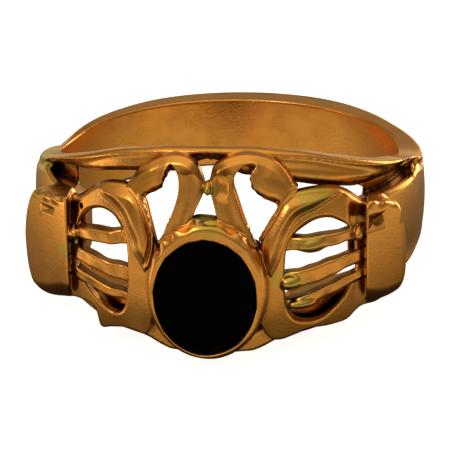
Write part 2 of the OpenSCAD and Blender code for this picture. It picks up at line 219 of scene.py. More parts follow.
# Edges of the band. Columns: angle from the front, height of the upper edge on the right
# and on the left, and depth of the lower edge
EDGES_AT = [(0, 5.2, 5.2, 5.2), (10, 5.16, 5.16, 5.2), (14.4, 5.12, 5.12, 4.95),
            (19.6, 5.0, 5.0, 4.55), (30, 4.7, 4.7, 4.25), (38, 4.32, 4.32, 3.8),
            (45, 3.97, 3.95, 3.4), (60, 3.25, 3.2, 2.85), (70, 2.85, 2.75, 2.6),
            (78, 2.5, 2.45, 2.3), (90, 2.08, 1.98, 2.0), (105, 2.0, 1.78, 1.98),
            (125, 2.0, 1.95, 1.95), (150, 1.98, 1.98, 1.85), (180, 1.98, 1.98, 1.8)]
# Open space between the two rails, its outline from the middle over the upper rail's edge
# to the tip, back along the middle strand, and the same below. Columns: x outward and z
SLIT = {
    "right": [(-0.4, 4.0), (1.6, 3.84), (2.7, 3.65), (4.3, 3.2), (5.1, 2.96), (5.9, 2.74),
              (6.7, 2.62), (7.4, 2.58), (8.1, 2.56), (8.7, 2.52), (9.3, 2.42), (9.62, 2.28),
              (9.86, 2.1), (9.6, 1.96), (9.2, 1.9), (7.9, 1.88), (6.95, 1.75), (6.65, 1.3),
              (6.6, 0.0), (6.65, -1.1), (7.0, -1.5), (7.7, -1.8), (8.3, -2.0), (7.6, -2.25),
              (6.2, -2.3), (4.4, -2.3), (3.3, -2.9), (2.4, -3.8), (-0.4, -4.05)],
    "left": [(-0.4, 4.0), (1.6, 3.93), (2.7, 3.85), (4.2, 3.68), (5.5, 3.4), (6.4, 3.2),
             (7.3, 3.04), (7.9, 2.86), (8.35, 2.65), (8.6, 2.42), (8.2, 2.22), (7.9, 2.18),
             (7.2, 2.12), (6.65, 1.85), (6.4, 1.3), (6.42, 0.0), (6.5, -1.1), (6.8, -1.5),
             (7.6, -1.8), (8.2, -2.0), (7.5, -2.25), (6.2, -2.3), (4.2, -2.35), (3.2, -2.95),
             (2.4, -3.8), (-0.4, -4.05)],
}
# Outlines of the openwork as seen from the front. Columns: x outward and z
SCROLL = {
    "right": [(8.2, 1.6), (7.3, 2.1), (6.95, 2.4), (6.61, 2.75), (6.02, 3.08), (5.23, 3.22),
              (4.53, 3.2), (4, 3.15), (3.6, 2.85), (3.2, 2.21), (2.8, 1.57), (2.5, 0.7),
              (2.3, -0.4), (2.3, -2.6), (2.45, -3.2), (2.9, -4.1), (3.45, -4.27), (4.2, -4.06),
              (4.9, -3.84), (5.9, -3.84), (6.65, -3.73), (7.3, -3.25), (8.3, -3), (8.6, -0.6)],
    "left": [(7.9, 1.6), (7, 2.1), (6.4, 2.5), (5.8, 2.97), (5.18, 3.32), (4.4, 3.44),
             (3.85, 3.36), (3.41, 3.1), (3.06, 2.7), (2.82, 1.83), (2.6, 1.1), (2.35, 0.2),
             (2.3, -0.8), (2.5, -2.2), (2.82, -3.2), (2.95, -3.8), (3.25, -4.1), (3.7, -4),
             (4.3, -3.9), (5, -4.02), (5.6, -4.12), (5.85, -3.2), (6.5, -2.85), (8, -2.95),
             (8.3, -0.6)],
}
WINDOW = {
    "right": [(6.86, 0.98), (6.26, 1.66), (5.63, 1.91), (4.92, 1.83), (4.22, 1.36), (3.86, 0.75),
              (3.7, -0.4), (3.73, -2.1), (4.03, -3.05), (4.74, -3.42), (5.54, -3.3),
              (6.34, -2.61), (6.9, -1.75), (7.05, -0.5)],
    "left": [(6.75, 0.9), (6.5, 1.6), (6.05, 2.02), (5.38, 2.2), (4.72, 2), (4.3, 1.5),
             (4.06, 0.5), (4.03, -0.8), (4.12, -2.1), (4.35, -2.9), (4.9, -3.12), (5.74, -2.55),
             (6.3, -1.9), (6.8, -0.9)],
}
EAR = {
    "right": [(4.3, 3.3), (4.1, 3.6), (3.8, 4.1), (3.35, 4.58), (2.66, 4.92), (1.86, 5.06),
              (1.08, 4.97), (0.53, 4.74), (0.22, 4.5), (0.1, 4.05), (0.06, 3.7), (0.14, 3.35),
              (0.34, 2.7), (0.55, 1.9), (0.7, 1.2), (2, 0.6), (3, 1.6), (3.7, 2.6)],
    "left": [(4.05, 3.3), (3.84, 3.68), (3.42, 4.25), (2.8, 4.65), (2.14, 4.92), (1.45, 5),
             (0.93, 4.87), (0.58, 4.6), (0.33, 4.19), (0.15, 3.65), (0.23, 3.3), (0.58, 2.58),
             (0.8, 1.9), (0.95, 1.3), (2, 0.6), (2.9, 1.5), (3.6, 2.7)],
}
# Opening inside each ear on its face, and at the back of the ribbon
EAR_HOLE = {
    "right": [(3.5, 2.9), (2.85, 3.2), (2.37, 3.5), (2.12, 3.9), (2.1, 4.3), (2.3, 4.62),
              (2, 4.7), (1.68, 4.58), (1.41, 4.34), (1.26, 4.04), (1.23, 3.7), (1.4, 3.2),
              (1.77, 2.19), (2.1, 1.45), (2.4, 0.9), (2.6, 1.15), (2.85, 1.65), (3.23, 2.21)],
    "left": [(3.3, 3.05), (3, 3.35), (2.4, 3.7), (2.19, 4), (2.06, 4.35), (1.9, 4.62),
             (1.7, 4.5), (1.55, 4.25), (1.44, 3.85), (1.46, 3.31), (1.65, 2.65), (1.95, 1.9),
             (2.2, 1.33), (2.55, 0.95), (2.7, 1.3), (2.85, 1.83), (3.08, 2.6)],
}
EAR_BACK = {
    "right": [(3.42, 2.48), (3.12, 2.7), (2.8, 2.88), (2.4, 3.13), (2.14, 3.4), (2.0, 3.8),
              (2.05, 4.3), (1.75, 4.5), (1.41, 4.3), (1.26, 4.04), (1.23, 3.7), (1.4, 3.2),
              (1.77, 2.19), (2.05, 1.45), (2.3, 0.65), (2.54, 1.14), (2.89, 1.74), (3.13, 2.04)],
    "left": [(3.25, 2.8), (2.95, 3.05), (2.4, 3.32), (2.2, 3.68), (2.0, 4.1), (1.85, 4.5),
             (1.7, 4.45), (1.55, 4.1), (1.44, 3.7), (1.5, 3.1), (1.7, 2.5), (2.0, 1.7),
             (2.25, 1.1), (2.6, 0.7), (2.82, 1.2), (3.0, 1.8), (3.15, 2.3)],
}
# Raised leaf. Columns: x and z on the window side, x and z on the ear side
LEAF = {
    "right": [(6.4, 2.82, 6.3, 2.9), (5.9, 2.62, 5.85, 3.08), (5.2, 2.3, 5.1, 3.18),
              (4.4, 2, 4.3, 3.16), (3.95, 1.35, 3.65, 2.9), (3.7, 0.7, 3.1, 1.95),
              (3.5, 0.1, 2.7, 1.1), (3.3, -0.35, 2.62, 0.3), (3.08, -0.75, 2.9, -0.5)],
    "left": [(5.54, 3, 5.5, 3.1), (5.35, 2.75, 5, 3.3), (4.95, 2.5, 4.4, 3.4),
             (4.46, 2.08, 3.7, 3.28), (4.15, 1.5, 3.2, 2.8), (3.85, 0.85, 2.85, 1.9),
             (3.7, 0.3, 2.68, 1.2), (3.4, -0.15, 2.7, 0.5), (3.14, -0.6, 2.95, -0.35)],
}
# Bars. Columns: x, z and height at the scroll; x, z and height at the block
BARS = {
    "right": [(3.6, 0.7, 0.6, 8.0, 0.74, 0.64), (3.5, -1.22, 0.88, 8.0, -0.26, 0.66),
              (3.5, -2.5, 0.62, 8.0, -1.18, 0.5)],
    "left": [(3.9, 0.91, 0.7, 7.5, 0.63, 0.54), (3.9, -1.02, 0.8, 7.5, -0.18, 0.64),
             (3.9, -2.25, 0.48, 7.5, -1.17, 0.6)],
}
# Blocks. Columns: angle from the front and x of the inner side
BLOCK = {"right": (48.2, 7.6), "left": (49.3, 7.2)}
# Outline of a block's face. Columns: distance outward along it from its middle, and z
BLOCK_OUTLINE = {
    "right": [(-2.6, 2.5), (-1.6, 2.42), (-0.6, 2.22), (0.4, 1.95), (1.0, 1.72), (1.4, 1.2),
              (1.65, 0.3), (1.76, -0.75), (1.74, -2.2), (1.43, -2.92), (0.85, -3.22),
              (-0.4, -3.26), (-1.7, -2.97), (-2.6, -2.7)],
    "left": [(-3.2, 2.36), (-1.5, 2.3), (0.2, 2.2), (0.9, 2.05), (1.5, 1.6), (1.86, 1.0),
             (2.1, 0.0), (2.16, -0.8), (2.04, -2.2), (1.62, -3.2), (1.0, -3.52),
             (0.2, -3.56), (-1.1, -3.25), (-1.9, -2.98), (-3.2, -2.6)],
}
# Hollows in the blocks' faces. Columns: distance outward, z, half width, half height, depth
HOLLOW = {"right": [(-0.85, 1.25, 0.5, 0.38, 0.28)], "left": [(-0.75, 1.5, 0.5, 0.16, 0.16)]}
# Solder left on the bars. Columns: x outward, z, half width and half height
BLOBS = {
    "right": [(5.1, 0.62, 0.7, 0.42), (4.05, -1.2, 0.55, 0.4), (4.6, -2.35, 0.75, 0.3),
              (7.3, 0.72, 0.3, 0.4)],
    "left": [(7.0, 0.6, 0.35, 0.35)],
}
# Pits beside the blocks. Columns: x outward, z and radius
PITS = {
    "right": [(7.75, -0.75, 0.1), (7.45, 1.7, 0.07)],
    "left": [(6.5, 1.98, 0.08), (6.8, 0.85, 0.08)],
}


# Fields: each gives the distance to a shape's surface, negative inside the metal
class Spots:
    """Points in the ring's own frame, with the coordinates that the shapes use."""

    def __init__(self, x, y, z):
        self.x, self.y, self.z = x, y, z
        self.r = np.hypot(x, y)
        self.turn = np.degrees(np.arctan2(np.abs(x), -y))
        bulge = np.sqrt(BARREL_R ** 2 - np.clip(z - BEZEL_Z, -9, 9) ** 2)
        self.depth = SHELL_R - BARREL_R + bulge - self.r
        self.lift = CENTRE_MM[2] + z * math.cos(LEAN) - y * math.sin(LEAN)


def smooth_min(a, b, k):
    share = np.clip(0.5 + 0.5 * (b - a) / k, 0, 1)
    return b + (a - b) * share - k * share * (1 - share)


def smooth_max(a, b, k):
    return -smooth_min(-a, -b, k)


def smooth_step(low, high, value):
    share = np.clip((value - low) / (high - low), 0, 1)
    return share * share * (3 - 2 * share)


def hump(middle, half, value):
    """1 at the middle, falling smoothly to 0 at half on both sides."""
    return 1 - smooth_step(0, half, np.abs(value - middle))


def egg(offsets, halves, scale):
    """Rough distance to an egg shape, from offsets to its middle and its half sizes."""
    total = sum((offset / half) ** 2 for offset, half in zip(offsets, halves))
    return (np.sqrt(total) - 1) * scale


def rounded(a, b, edge):
    """What is inside both a and b, with the edge between them rounded."""
    a, b = a + edge, b + edge
    return np.minimum(np.maximum(a, b), 0) + np.hypot(np.maximum(a, 0), np.maximum(b, 0)) - edge


def waves(p, size, seed, count=7):
    """Soft unevenness between about -1 and 1, with bumps of about the size given."""
    rng = np.random.default_rng(seed)
    total = 0
    for _ in range(count):
        direction = rng.normal(size=3)
        direction *= math.pi * rng.uniform(0.7, 1.4) / size / np.linalg.norm(direction)
        phase = rng.uniform(0, 2 * math.pi)
        total = total + np.sin(p.x * direction[0] + p.y * direction[1] + p.z * direction[2] + phase)
    return total / math.sqrt(count) * 0.7


def curve_points(rows, closed, steps=6):
    """Smooth curve through the rows of a table."""
    rows = np.array(rows, float)
    n = len(rows)
    if closed:
        a, b, c, d = (np.roll(rows, k, 0) for k in (1, 0, -1, -2))
    else:
        around = np.clip(np.arange(-1, n + 1), 0, n - 1)
        a, b, c, d = (rows[around[k:n - 1 + k]] for k in range(4))
    t = (np.arange(steps) / steps)[None, :, None]
    a, b, c, d = (q[:, None] for q in (a, b, c, d))
    points = 0.5 * (2 * b + (c - a) * t + (2 * a - 5 * b + 4 * c - d) * t ** 2
                    + (3 * b - 3 * c + d - a) * t ** 3)
    points = points.reshape(-1, rows.shape[1])
    return points if closed else np.vstack([points, rows[-1:]])


class Along:
    """A table's columns as smooth functions of its first column."""

    def __init__(self, rows):
        points = curve_points(rows, closed=False, steps=24)
        self.at, self.columns = points[:, 0], points[:, 1:]

    def __call__(self, value, column):
        return np.interp(value, self.at, self.columns[:, column]).astype(np.float32)


class Flat:
    """Distance in x and z to an outline, or to an open line, looked up from a fine map."""
    LOW, HIGH, STEP = (-0.9, -5.6), (10.6, 6.2), 0.03

    def __init__(self, outline, line=False):
        outline = np.array(outline, float)
        axes = [np.arange(a, b, self.STEP) for a, b in zip(self.LOW, self.HIGH)]
        x, z = np.meshgrid(*axes, indexing="ij")
        near, inside = np.full(x.shape, 1e9), np.zeros(x.shape, bool)
        ends = outline[1:] if line else np.roll(outline, -1, 0)
        for (x0, z0), (x1, z1) in zip(outline, ends):
            ex, ez = x1 - x0, z1 - z0
            length = ex * ex + ez * ez
            if length == 0:
                continue
            t = np.clip(((x - x0) * ex + (z - z0) * ez) / length, 0, 1)
            near = np.minimum(near, (x - x0 - t * ex) ** 2 + (z - z0 - t * ez) ** 2)
            if ez != 0:
                inside ^= ((z0 > z) != (z1 > z)) & (x < x0 + (z - z0) * ex / ez)
        self.map = np.sqrt(near).astype(np.float32)
        if not line:
            self.map *= np.where(inside, -1, 1)

    def __call__(self, x, z):
        i = np.clip((x - self.LOW[0]) / self.STEP, 0, self.map.shape[0] - 1.001)
        j = np.clip((z - self.LOW[1]) / self.STEP, 0, self.map.shape[1] - 1.001)
        i0, j0 = i.astype(np.int32), j.astype(np.int32)
        fi, fj = i - i0, j - j0
        m = self.map
        low = m[i0, j0] * (1 - fi) + m[i0 + 1, j0] * fi
        high = m[i0, j0 + 1] * (1 - fi) + m[i0 + 1, j0 + 1] * fi
        return low * (1 - fj) + high * fj


plan_of, edges_of = Along(PLAN), Along(EDGES_AT)
# A block's outline is shifted into the maps' range
ALONG_SHIFT = 4.0


def maps_of(table, shift=0):
    """Distance maps of a table's closed outlines, one for each side."""
    return {side: Flat(curve_points(np.array(table[side]) + [shift, 0], closed=True)) for side in SIGN}


slit_map, plate_map, window_map = maps_of(SLIT), maps_of(SCROLL), maps_of(WINDOW)
ear_map, hole_map, back_map = maps_of(EAR), maps_of(EAR_HOLE), maps_of(EAR_BACK)
block_map = maps_of(BLOCK_OUTLINE, ALONG_SHIFT)
leaf_map, ear_line = {}, {}
for side in SIGN:
    rows = np.array(LEAF[side])
    window_side = curve_points(rows[:, :2], closed=False)
    ear_side = curve_points(rows[::-1, 2:], closed=False)
    leaf_map[side] = Flat(np.vstack([window_side, ear_side]))
    ear_line[side] = Flat(ear_side, line=True)


def by_side(p, right, left):
    return np.where(p.x > 0, right, left)


def slit_at(p, lift=0):
    """Distance to the open space between the rails, looked up a little higher by lift."""
    return by_side(p, slit_map["right"](p.x, p.z + lift), slit_map["left"](-p.x, p.z + lift))


def band_field(p):
    """Shank, the two rails and the middle strand between them."""
    outer = by_side(p, plan_of(p.turn, 0), plan_of(p.turn, 1))
    crown = CROWN_R - np.sqrt(CROWN_R ** 2 - np.clip(p.z, -6, 6) ** 2)
    fuller = 1 - (1 - LOW_CROWN) * smooth_step(*LOW_CROWN_BELOW, -p.z)
    outside = p.r - outer + crown * fuller
    upper = by_side(p, edges_of(p.turn, 0), edges_of(p.turn, 1))
    high = np.maximum(p.z - upper, -p.z - edges_of(p.turn, 2))
    # The left shoulder's edges are worn rounder than the rest
    edge = BAND_EDGE + by_side(p, 0, SHOULDER_WEAR * hump(WORN_AT, WORN_HALF, p.turn))
    body = rounded(outside, high, edge)
    body = np.maximum(body, rounded(BORE_R - p.r, high, BORE_EDGE))
    # The middle strand's top slopes down toward the finger
    inward = np.clip((STRAND_R - p.r) / STRAND_W, 0, 1)
    slit = slit_at(p, STRAND_SLOPE * inward * smooth_step(*STRAND_Z, p.z) * (p.z > 0))
    slit = np.maximum(slit, p.y - SLIT_END_Y)
    # Toward the slit the outside turns in like a wire's, most of all under the upper rail
    slit_edge = SLIT_EDGE + RAIL_UNDERSIDE * smooth_step(*RAIL_Z, p.z)
    body = np.maximum(body, rounded(outside, -slit, slit_edge))
    # Toward its ends the slit is a groove with a floor, which is closed toward the finger
    floor_r = FLOOR_R - FLOOR_FALL * (1 - smooth_step(*FLOOR_TURN, p.turn))
    floor_top = np.maximum(np.abs(p.z - FLOOR_Z) - FLOOR_HALF_H, high + FLOOR_BELOW_EDGE)
    body = np.minimum(body, np.maximum(np.maximum(p.r - floor_r, BORE_R - p.r), floor_top))
    # Below the upper rail's crest lies a shallow groove
    line = upper - p.z
    relief = GROOVE_DEEP * hump(GROOVE_AT, GROOVE_HALF, line)
    relief = relief - CREST_HIGH * hump(CREST_AT, CREST_HALF, line)
    body = body + relief * smooth_step(-0.3, 0.0, outside) * (p.y < 0)
    # A drop of metal bridges the right slit near its end
    off_bridge = [value - middle for value, middle in zip((p.x, p.y, p.z), BRIDGE_AT)]
    body = smooth_min(body, egg(off_bridge, BRIDGE_HALVES, BRIDGE_HALVES[0]), SMALL_FILLET)
    body = body + BAND_UNEVEN * waves(p, 2.6, seed=11)
    return smooth_max(body, -p.lift, TINY_FILLET)


def block_field(p, side):
    """Cushion-shaped block on one shoulder, with a crumpled upper edge."""
    sign = SIGN[side]
    angle, inner = BLOCK[side]
    turn = math.radians(angle) * sign
    across = (p.x * math.cos(turn) + p.y * math.sin(turn)) * sign
    out = p.x * math.sin(turn) - p.y * math.cos(turn)
    depth = BLOCK_FACE - BOW_ACROSS * across ** 2 - BOW_UP * (p.z - BOW_Z) ** 2 - out
    outline = block_map[side](across + ALONG_SHIFT, p.z)
    # The upper edge is crisp and crumpled, the lower one and the outer corner are round
    upper = smooth_step(*CRISP_Z, p.z) * smooth_step(*CRISP_ACROSS, across)
    ridge = hump(0, RIDGE_W, outline) * hump(0, RIDGE_DEEP, depth)
    ridge = ridge * smooth_step(*RIDGE_Z, p.z) * smooth_step(*RIDGE_ACROSS, across)
    fine = CRUMPLE_FINE * waves(p, 0.36, seed=61 + sign, count=9)
    broad = CRUMPLE_BROAD * waves(p, 0.9, seed=71 + sign)
    edge = BLOCK_EDGE - (BLOCK_EDGE - CRISP_EDGE) * upper
    shape = rounded(outline, -depth, edge) + ridge * (fine + broad)
    shape = rounded(shape, inner - p.x * sign, INNER_EDGE)
    shape = np.maximum(shape, BLOCK_BASE - out)
    for middle, height, half_w, half_h, deep in HOLLOW[side]:
        away = np.maximum(np.abs(across - middle) / half_w, np.abs(p.z - height) / half_h)
        uneven = away + HOLLOW_UNEVEN * waves(p, 0.5, seed=141)
        sunk = deep * smooth_step(*HOLLOW_SHARE, uneven) * smooth_step(*HOLLOW_DEPTH, -depth)
        shape = shape + sunk
    return shape + BLOCK_UNEVEN * waves(p, 1.8, seed=21 + sign)


def ribbon(inside, depth, top, bottom, edge):
    """A strip of metal between two depths, its edges rounded."""
    return rounded(inside, np.maximum(top - depth, depth - bottom), edge)


def leaf_top(side, z, leaf_in, from_ear):
    """Depth of the raised leaf's surface, a smooth lobe that falls to its outline."""
    top = LEAF_FALL * (1 - smooth_step(0, LEAF_SLOPE_W, -leaf_in))
    if side == "left":
        # The left leaf has a rim beside the ear and, lower down, a channel inside the rim
        lower = smooth_step(*CHANNEL_FROM_Z, z) * smooth_step(*CHANNEL_TO_Z, z)
        top = top - RIM_HIGH * hump(RIM_AT, RIM_HALF, from_ear) * smooth_step(*RIM_Z, z)
        top = top + CHANNEL_DEEP * hump(CHANNEL_AT, CHANNEL_HALF, from_ear) * lower
    return top


def bar_field(p, side, x, k):
    """One of a side's three bars, counted from the top."""
    x0, z0, h0, x1, z1, h1 = BARS[side][k]
    share = np.clip((x - x0) / (x1 - x0), 0, 1)
    sag = BAR_SAG * waves(p, 1.1, seed=81 + k + 3 * SIGN[side], count=4)
    half = (h0 + (h1 - h0) * share) / 2
    off = np.abs(p.z - z0 - (z1 - z0) * share - sag) - half
    ends = np.abs(x - (x0 + x1) / 2) - (x1 - x0) / 2
    top = BAR_DROP + BAR_DIP_SCROLL * smooth_step(x0 + DIP_SCROLL_X[0], x0 + DIP_SCROLL_X[1], x)
    top = top + BAR_DIP_BLOCK * smooth_step(*DIP_BLOCK_X, x)
    layer = np.maximum(top - p.depth, p.depth - top - BAR_T)
    bar = rounded(np.maximum(off, ends), layer, BAR_EDGE)
    return bar + BAR_UNEVEN * waves(p, 0.5, seed=91 + k, count=5)


def scroll_field(p, side):
    """Plate with its leg, the raised leaf and the three bars of one side."""
    x = p.x * SIGN[side]
    window = window_map[side](x, p.z)
    # Above the window its wall slants
    window = window + WINDOW_SLANT * smooth_step(*SLANT_DEPTH, p.depth) * smooth_step(*SLANT_Z, p.z)
    plate_in = np.maximum(plate_map[side](x, p.z), -window)
    cove = COVE * smooth_step(*COVE_X, x)
    shape = ribbon(plate_in, p.depth, PLATE_DROP + cove, RIBBON_T + PLATE_EXTRA_T + cove, PLATE_EDGE)
    leaf_in = leaf_map[side](x, p.z)
    top = leaf_top(side, p.z, leaf_in, ear_line[side](x, p.z))
    shape = smooth_min(shape, ribbon(leaf_in, p.depth, top, RIBBON_T, LEAF_EDGE), FILLET)
    for k in range(len(BARS[side])):
        shape = smooth_min(shape, bar_field(p, side, x, k), SMALL_FILLET)
    for blob_x, blob_z, wide, tall in BLOBS[side]:
        offsets = (x - blob_x, p.z - blob_z, p.depth - BLOB_DEPTH)
        shape = smooth_min(shape, egg(offsets, (wide, tall, BLOB_HALF_DEPTH), tall), FILLET)
    for pit_x, pit_z, radius in PITS[side]:
        offsets = (x - pit_x, p.z - pit_z, p.depth - PIT_DEPTH)
        halves = (radius, radius / PIT_STRETCH_Z, radius / PIT_STRETCH_DEPTH)
        shape = smooth_max(shape, -egg(offsets, halves, radius), TINY_FILLET)
    return shape + SCROLL_UNEVEN * waves(p, 0.9, seed=31 + SIGN[side])


def ear_field(p, side):
    """Loop from the top of the bezel over the upper rail to the scroll."""
    x = p.x * SIGN[side]
    outline = ear_map[side](x, p.z)
    front_hole = hole_map[side](x, p.z)
    deep = smooth_step(*BACK_HOLE_DEPTH, p.depth)
    hole = front_hole * (1 - deep) + back_map[side](x, p.z) * deep
    ragged = RAGGED * smooth_step(RAGGED_W, 0.0, front_hole) * (x > RAGGED_FROM_X)
    inside = np.maximum(outline, ragged * waves(p, 0.22, seed=101, count=6) - hole)
    fall = TOP_FALL * smooth_step(TOP_FALL_W, 0.0, -outline) * smooth_step(*TOP_FALL_Z, p.z)
    fall = fall + RIM_FALL * smooth_step(RIM_FALL_W, 0.0, -outline)
    # The leg has a faint strip beside the opening, and the lobe a raised lip and a fold
    leg = smooth_step(*LEG_X, x) * smooth_step(*LEG_Z, p.z)
    strip = STRIP_DEEP * hump(STRIP_AT, STRIP_HALF, front_hole) * leg
    lip = -LIP_HIGH * hump(LIP_AT, LIP_HALF, front_hole) * smooth_step(*LOBE_LIP_X, x)
    fold = FOLD_DEEP * hump(FOLD_AT, FOLD_HALF, front_hole) * smooth_step(*LOBE_FOLD_X, x)
    top = EAR_DROP + EAR_FLAT + fall + strip + lip + fold
    if side == "right":
        # The right leg is dented
        up = np.abs(p.z - DENT_Z + DENT_SLANT * (x - DENT_X))
        away = np.maximum(np.abs(x - DENT_X) / DENT_HALF_W, up / DENT_HALF_H)
        away = away + HOLLOW_UNEVEN * waves(p, 0.4, seed=151, count=5)
        top = top + DENT_DEEP * smooth_step(*DENT_SHARE, away)
    shape = ribbon(inside, p.depth, top, RIBBON_T + EAR_DROP, EAR_EDGE)
    return shape + EAR_UNEVEN * waves(p, 0.8, seed=41 + SIGN[side])


def bead_field(p):
    """Solder that joins the two ears."""
    offsets = [value - middle for value, middle in zip((p.x, p.z, p.depth), BEAD_AT)]
    return egg(offsets, BEAD_HALVES, BEAD_HALVES[0])


def oval_distance(x, z, half_w, half_h):
    k = np.sqrt((x / half_w) ** 2 + (z / half_h) ** 2) + 1e-6
    slope = np.sqrt((x / half_w ** 2) ** 2 + (z / half_h ** 2) ** 2) + 1e-6
    return k * (k - 1) / slope


def bezel_field(p):
    """Oval cup with a burnished, ragged rim and lumps of solder over its upper side."""
    x, z = p.x, p.z - BEZEL_Z
    outer = oval_distance(x, z, BEZEL_W / 2, BEZEL_H / 2)
    turn = np.arctan2(z, x)
    front = -FRONT_Y - p.y
    upper = smooth_step(*LUMPS_Z, z) * smooth_step(*LUMPS_BEHIND, front)
    lumps = upper * (LUMPS_SWELL + LUMPS_HIGH * waves(p, 0.4, seed=111, count=9))
    # The cup is shallow above and carried back to the lower rail below
    cup_back = CUP_BACK - (CUP_BACK - FOOT_BACK) * smooth_step(*FOOT_BELOW, -z)
    length = np.maximum(front + FRONT_UNEVEN * waves(p, 0.8, seed=117), p.y + cup_back)
    body = rounded(outer - lumps, length, CUP_EDGE)
    # The ragged mouth, the stone's seat below it and the hole through the back
    ragged = MOUTH_UNEVEN * waves(p, 0.34, seed=113, count=9)
    for high, number, start in MOUTH_WAVES:
        ragged = ragged + high * np.sin(number * turn + start)
    mouth = oval_distance(x - MOUTH_X, z - MOUTH_Z, MOUTH_W / 2, MOUTH_H / 2)
    body = smooth_max(body, -np.maximum(mouth + ragged, p.y + FRONT_Y - MOUTH_DEEP), FILLET)
    body = smooth_max(body, -np.maximum(mouth - SEAT_SPARE, p.y + FRONT_Y - SEAT_DEEP), TINY_FILLET)
    body = smooth_max(body, -(mouth + LEDGE), TINY_FILLET)
    return body + BEZEL_UNEVEN * waves(p, 0.7, seed=51)


# Meshes from fields
CORNERS = np.array([(i, j, k) for i in (0, 1) for j in (0, 1) for k in (0, 1)])
EDGES = [(a, b) for a in range(8) for b in range(a + 1, 8) if np.abs(CORNERS[a] - CORNERS[b]).sum() == 1]


def net_of(values, low, step):
    """Vertices and faces of the zero level of a sampled field."""
    inside = values < 0
    nx, ny, nz = inside.shape
    count = sum(inside[i:nx - 1 + i, j:ny - 1 + j, k:nz - 1 + k].astype(np.int8) for i, j, k in CORNERS)
    cells = np.argwhere((count > 0) & (count < 8))
    number = np.full(count.shape, -1, np.int32)
    number[tuple(cells.T)] = np.arange(len(cells))
    at_corner = np.stack([values[tuple((cells + c).T)] for c in CORNERS], 1)
    total, hits = np.zeros((len(cells), 3)), np.zeros((len(cells), 1))
    for a, b in EDGES:
        va, vb = at_corner[:, a], at_corner[:, b]
        cross = ((va < 0) != (vb < 0))[:, None]
        t = (va / np.where(va == vb, 1, va - vb))[:, None]
        total += np.where(cross, CORNERS[a] + t * (CORNERS[b] - CORNERS[a]), 0)
        hits += cross
    points = np.array(low) + step * (cells + total / hits)
    faces = []
    for axis in range(3):
        other = [m for m in range(3) if m != axis]
        first = np.moveaxis(inside, axis, 0)
        spots = np.argwhere(np.moveaxis(first[1:] != first[:-1], 0, axis))
        spots = spots[np.all(spots[:, other] > 0, 1)]
        spots = spots[np.all(spots[:, other] < np.array(count.shape)[other], 1)]
        steps = np.zeros((4, 3), int)
        steps[1, other[0]] = steps[2, other[0]] = -1
        steps[2, other[1]] = steps[3, other[1]] = -1
        ring = np.stack([number[tuple((spots + s).T)] for s in steps], 1)
        starts_inside = inside[tuple(spots.T)]
        keep = starts_inside if axis != 1 else ~starts_inside
        faces.append(np.where(keep[:, None], ring, ring[:, ::-1]))
    return points, np.vstack(faces)


def surface_of(field, low, high, step):
    """Closed mesh of a field, its vertices drawn onto the true surface, with their normals."""
    axes = [np.arange(a - 2 * step, b + 3 * step, step, dtype=np.float32) for a, b in zip(low, high)]
    grid = np.meshgrid(*axes, indexing="ij")
    values = field(Spots(*grid))
    points, faces = net_of(values, [a[0] for a in axes], step)

    def slope(points):
        reach = 0.4 * step
        return np.stack([
            (field(Spots(*(points + reach * d).T)) - field(Spots(*(points - reach * d).T))) / (2 * reach)
            for d in np.eye(3)], 1)

    for _ in range(2):
        g = slope(points)
        f = field(Spots(*points.T))[:, None]
        move = f * g / np.maximum((g * g).sum(1, keepdims=True), 0.25)
        points = points - np.clip(move, -0.5 * step, 0.5 * step)
    normals = slope(points)
    normals /= np.maximum(np.linalg.norm(normals, axis=1, keepdims=True), 1e-9)
    return points, faces, normals


def metal_field(p):
    """All the metal."""
    sides = [f(p, side) for side in SIGN for f in (block_field, scroll_field, ear_field)]
    return np.minimum.reduce(sides + [band_field(p), bead_field(p), bezel_field(p)])


class Around:
    """The metal's field on a coarse grid, for how open the space over a point is."""
    LOW, HIGH, STEP = (-11.5, -13.0, -6.2), (11.5, 11.5, 6.2), 0.16

    def __init__(self):
        axes = [np.arange(a, b, self.STEP, dtype=np.float32) for a, b in zip(self.LOW, self.HIGH)]
        self.map = metal_field(Spots(*np.meshgrid(*axes, indexing="ij")))

    def __call__(self, points):
        spot = np.clip((points - self.LOW) / self.STEP, 0, np.array(self.map.shape) - 1.001)
        whole = spot.astype(np.int32)
        part = spot - whole
        total = 0
        for corner in CORNERS:
            share = np.prod(np.where(corner, part, 1 - part), 1)
            total = total + share * self.map[tuple((whole + corner).T)]
        return total


around = Around()


# How far out each point looks for metal over it, to paint shade into corners. Columns: distance and
# share
REACHES = [(0.3, 0.3), (0.7, 0.35), (1.4, 0.35)]
# Share of brown painted shade on the upper rail's lower half. Nothing past the radius is rail
RAIL_SHADE = 0.8
RAIL_REACH_R = 10.5
RAIL_SHADE_FROM_SLIT = (0.75, 0.1)
RAIL_SHADE_Z = (2.35, 2.55)
# Other brown patches of painted shade. Columns: x, z, radius across and up, share
SHADE_SPOTS = [(8.15, 1.25, 0.3, 0.32, 0.85), (-8.2, 1.6, 0.3, 0.14, 0.8), (-8.75, 1.2, 0.12, 0.25, 0.5),
          (-9.05, 2.95, 0.12, 0.1, 0.8), (-8.6, 2.6, 0.7, 0.25, 0.5), (0.75, 3.6, 0.22, 0.3, 0.35)]


